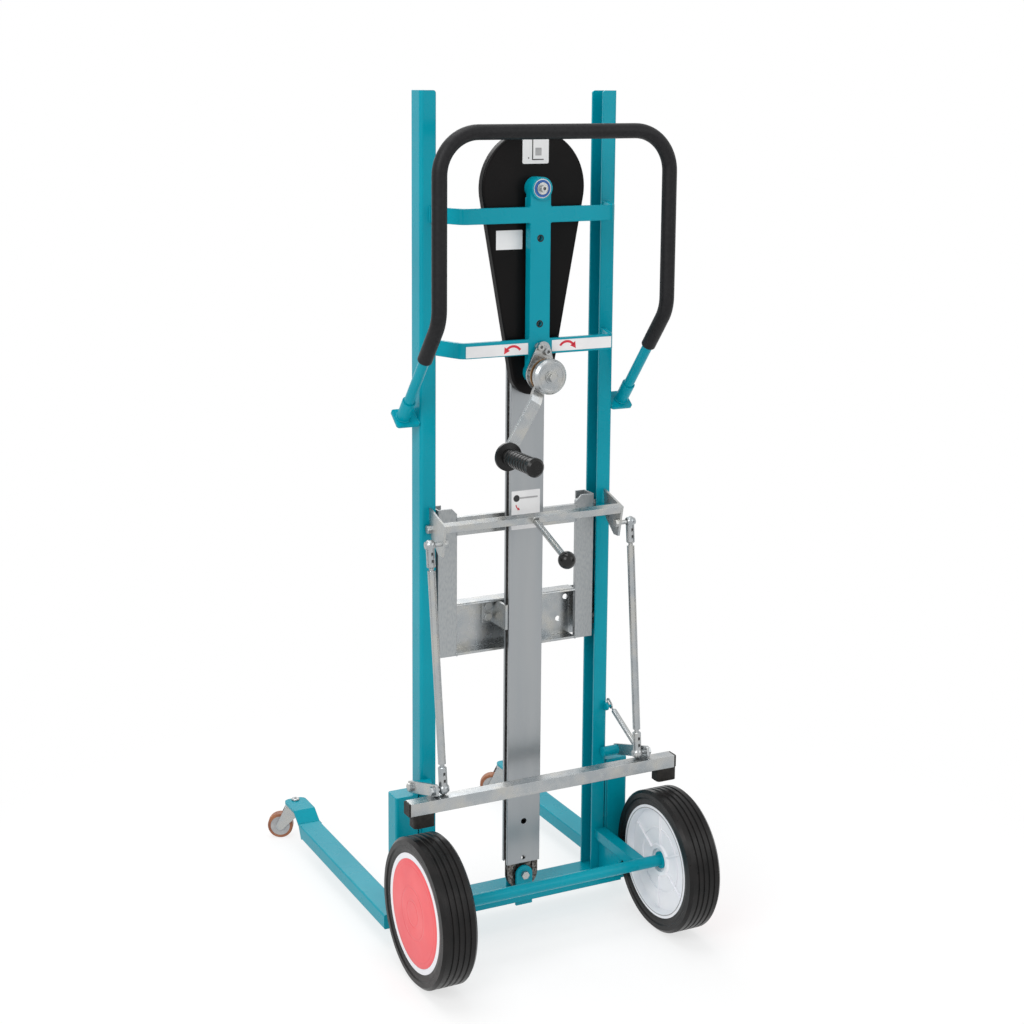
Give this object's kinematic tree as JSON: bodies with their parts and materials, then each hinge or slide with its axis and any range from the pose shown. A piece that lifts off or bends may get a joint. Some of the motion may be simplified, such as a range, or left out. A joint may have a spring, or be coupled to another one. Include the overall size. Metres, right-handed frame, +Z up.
{
  "type": "fork lift trolley",
  "caption": "Hand-cranked lifting trolley: twin masts with chain-raised carriage, straddle legs on casters, big rear wheels, U handle and tyre parking brake.",
  "frame": {"origin": "on the floor, midway between the two masts and in the middle of their depth; x = 0 is the plane the frame is symmetric about", "axes": "+X to the right of the operator behind the handle, +Y forward towards the casters, +Z up along the masts"},
  "size_m": [0.553, 0.7931, 1.476],
  "materials": {
    "teal_paint": "satin",
    "zinc_plate": "satin",
    "bearing_steel": "polished",
    "chain_steel": "oiled",
    "black_paint": "satin",
    "black_plastic": "matte",
    "gloss_black": "gloss",
    "foam_sleeve": "matte",
    "black_rubber": "matte",
    "tyre_rubber": "matte",
    "white_nylon": "satin",
    "coral_cap": "satin",
    "brown_tread": "satin",
    "friction_bronze": "satin"
  },
  "bodies": {
    "frame": {"mast_left": "teal_paint", "mast_right": "teal_paint", "base_plate": "teal_paint", "leg_left": "teal_paint", "leg_right": "teal_paint", "posts": "teal_paint", "axle_frame": "teal_paint", "upper_cross_frame": "teal_paint", "shaft_bearings": "bearing_steel", "chain_case": "black_paint", "chain_case_cover": "black_paint", "column_rear_channel": "zinc_plate", "column_front_channel": "zinc_plate", "column_spacers": "zinc_plate", "lift_chain": "chain_steel", "drive_chain": "chain_steel", "idler_bracket": "teal_paint", "frame_bolts": "zinc_plate", "handle_tube": "teal_paint", "handle_sleeve": "foam_sleeve", "handle_sockets": "teal_paint", "ratchet_plate": "zinc_plate", "pivot_bosses": "teal_paint"},
    "carriage": {"carriage_sides": "zinc_plate", "tool_channel": "zinc_plate", "carriage_top_bar": "zinc_plate", "chain_clamp": "zinc_plate"},
    "roller_lower_left": {"roller_lower_left": "bearing_steel"},
    "roller_lower_right": {"roller_lower_right": "bearing_steel"},
    "roller_upper_left": {"roller_upper_left": "bearing_steel"},
    "roller_upper_right": {"roller_upper_right": "bearing_steel"},
    "crank": {"crank_shaft": "zinc_plate", "ratchet_wheel": "zinc_plate", "friction_disc": "friction_bronze", "crank_disc": "zinc_plate", "crank_arm": "zinc_plate", "grip_pin": "zinc_plate"},
    "grip": {"crank_grip": "black_plastic"},
    "lift_drive": {"lift_shaft": "zinc_plate", "large_sprocket": "chain_steel", "lift_sprocket": "chain_steel"},
    "idler": {"idler_sprocket": "chain_steel"},
    "brake_lever": {"brake_lever": "zinc_plate", "lever_knob": "gloss_black"},
    "push_rod_left": {"push_rod_left": "zinc_plate"},
    "push_rod_right": {"push_rod_right": "zinc_plate"},
    "brake_bar": {"brake_bar": "zinc_plate", "brake_rubbers": "black_rubber"},
    "spring": {"return_spring": "zinc_plate"},
    "wheel_left": {"tyre_left": "tyre_rubber", "wheel_hub_left": "white_nylon", "wheel_cap_left": "coral_cap"},
    "wheel_right": {"tyre_right": "tyre_rubber", "wheel_hub_right": "white_nylon", "wheel_cap_right": "coral_cap"},
    "caster_left": {"caster_fork_left": "zinc_plate"},
    "caster_right": {"caster_fork_right": "zinc_plate"},
    "caster_wheel_left": {"caster_wheel_left": "brown_tread"},
    "caster_wheel_right": {"caster_wheel_right": "brown_tread"}
  },
  "joints": [
    {"name": "lift", "type": "slide", "parent": "frame", "child": "carriage", "axis": [0, 0, 1], "range_m": [-0.38, 0.66]},
    {"name": "lift_shaft_turn", "type": "hinge", "parent": "frame", "child": "lift_drive", "pos_m": [0, -0.061, 1.3165], "axis": [0, 1, 0], "range_deg": [-900.6, 1562.1]},
    {"name": "idler_turn", "type": "hinge", "parent": "frame", "child": "idler", "pos_m": [0, -0.0435, 0.0973], "axis": [0, 1, 0], "range_deg": [-900.6, 1562.1]},
    {"name": "crank_turn", "type": "hinge", "parent": "frame", "child": "crank", "pos_m": [0, -0.1, 1.007], "axis": [0, 1, 0], "range_deg": [-2695.9, 4680.2]},
    {"name": "grip_spin", "type": "hinge", "parent": "crank", "child": "grip", "pos_m": [-0.07815, -0.14, 0.87897], "axis": [0, 1, 0], "continuous": true},
    {"name": "brake_lever_tilt", "type": "hinge", "parent": "frame", "child": "brake_lever", "pos_m": [0, -0.029, 0.742], "axis": [1, 0, 0], "range_deg": [0, 16], "stiffness_Nm_per_rad": 6, "springref_deg": -22.92},
    {"name": "brake_bar_tilt", "type": "hinge", "parent": "frame", "child": "brake_bar", "pos_m": [0, -0.029, 0.288], "axis": [1, 0, 0], "range_deg": [0, 6.98]},
    {"name": "spring_tilt", "type": "hinge", "parent": "brake_bar", "child": "spring", "pos_m": [0.199, -0.107, 0.318], "axis": [1, 0, 0], "range_deg": [-3.59, 0]},
    {"name": "push_rod_left_tilt", "type": "hinge", "parent": "brake_lever", "child": "push_rod_left", "pos_m": [-0.1936, -0.0748, 0.7274], "axis": [1, 0, 0], "range_deg": [-17.36, 0]},
    {"name": "roller_lower_left_turn", "type": "hinge", "parent": "carriage", "child": "roller_lower_left", "pos_m": [-0.168, 0, 0.54], "axis": [1, 0, 0], "range_deg": [-1398.7, 2427.1]},
    {"name": "roller_upper_left_turn", "type": "hinge", "parent": "carriage", "child": "roller_upper_left", "pos_m": [-0.168, 0, 0.74], "axis": [1, 0, 0], "range_deg": [-2427.1, 1398.7]},
    {"name": "wheel_left_turn", "type": "hinge", "parent": "frame", "child": "wheel_left", "pos_m": [-0.2335, -0.16, 0.125], "axis": [1, 0, 0], "continuous": true},
    {"name": "caster_left_swivel", "type": "hinge", "parent": "frame", "child": "caster_left", "pos_m": [-0.23625, 0.476, 0.071], "axis": [0, 0, 1], "continuous": true},
    {"name": "caster_wheel_left_turn", "type": "hinge", "parent": "caster_left", "child": "caster_wheel_left", "pos_m": [-0.26298, 0.48962, 0.025], "axis": [-0.454, -0.891, 0], "continuous": true},
    {"name": "push_rod_right_tilt", "type": "hinge", "parent": "brake_lever", "child": "push_rod_right", "pos_m": [0.1936, -0.0748, 0.7274], "axis": [1, 0, 0], "range_deg": [-17.36, 0]},
    {"name": "roller_lower_right_turn", "type": "hinge", "parent": "carriage", "child": "roller_lower_right", "pos_m": [0.168, 0, 0.54], "axis": [1, 0, 0], "range_deg": [-1398.7, 2427.1]},
    {"name": "roller_upper_right_turn", "type": "hinge", "parent": "carriage", "child": "roller_upper_right", "pos_m": [0.168, 0, 0.74], "axis": [1, 0, 0], "range_deg": [-2427.1, 1398.7]},
    {"name": "wheel_right_turn", "type": "hinge", "parent": "frame", "child": "wheel_right", "pos_m": [0.2335, -0.16, 0.125], "axis": [1, 0, 0], "continuous": true},
    {"name": "caster_right_swivel", "type": "hinge", "parent": "frame", "child": "caster_right", "pos_m": [0.23625, 0.476, 0.071], "axis": [0, 0, 1], "continuous": true},
    {"name": "caster_wheel_right_turn", "type": "hinge", "parent": "caster_right", "child": "caster_wheel_right", "pos_m": [0.20952, 0.48962, 0.025], "axis": [-0.454, -0.891, 0], "continuous": true}
  ],
  "couplings": [
    {"joint": "lift_shaft_turn", "follows": "lift", "rad_per_m": 41.228},
    {"joint": "idler_turn", "follows": "lift", "rad_per_m": 41.228},
    {"joint": "crank_turn", "follows": "lift", "rad_per_m": 123.68},
    {"joint": "brake_bar_tilt", "follows": "brake_lever_tilt", "ratio": 0.42994},
    {"joint": "spring_tilt", "follows": "brake_lever_tilt", "ratio": -0.21841},
    {"joint": "push_rod_left_tilt", "follows": "brake_lever_tilt", "ratio": -1.0725},
    {"joint": "roller_lower_left_turn", "follows": "lift", "rad_per_m": 64.103},
    {"joint": "roller_upper_left_turn", "follows": "lift", "rad_per_m": -64.103},
    {"joint": "push_rod_right_tilt", "follows": "brake_lever_tilt", "ratio": -1.0725},
    {"joint": "roller_lower_right_turn", "follows": "lift", "rad_per_m": 64.103},
    {"joint": "roller_upper_right_turn", "follows": "lift", "rad_per_m": -64.103}
  ]
}
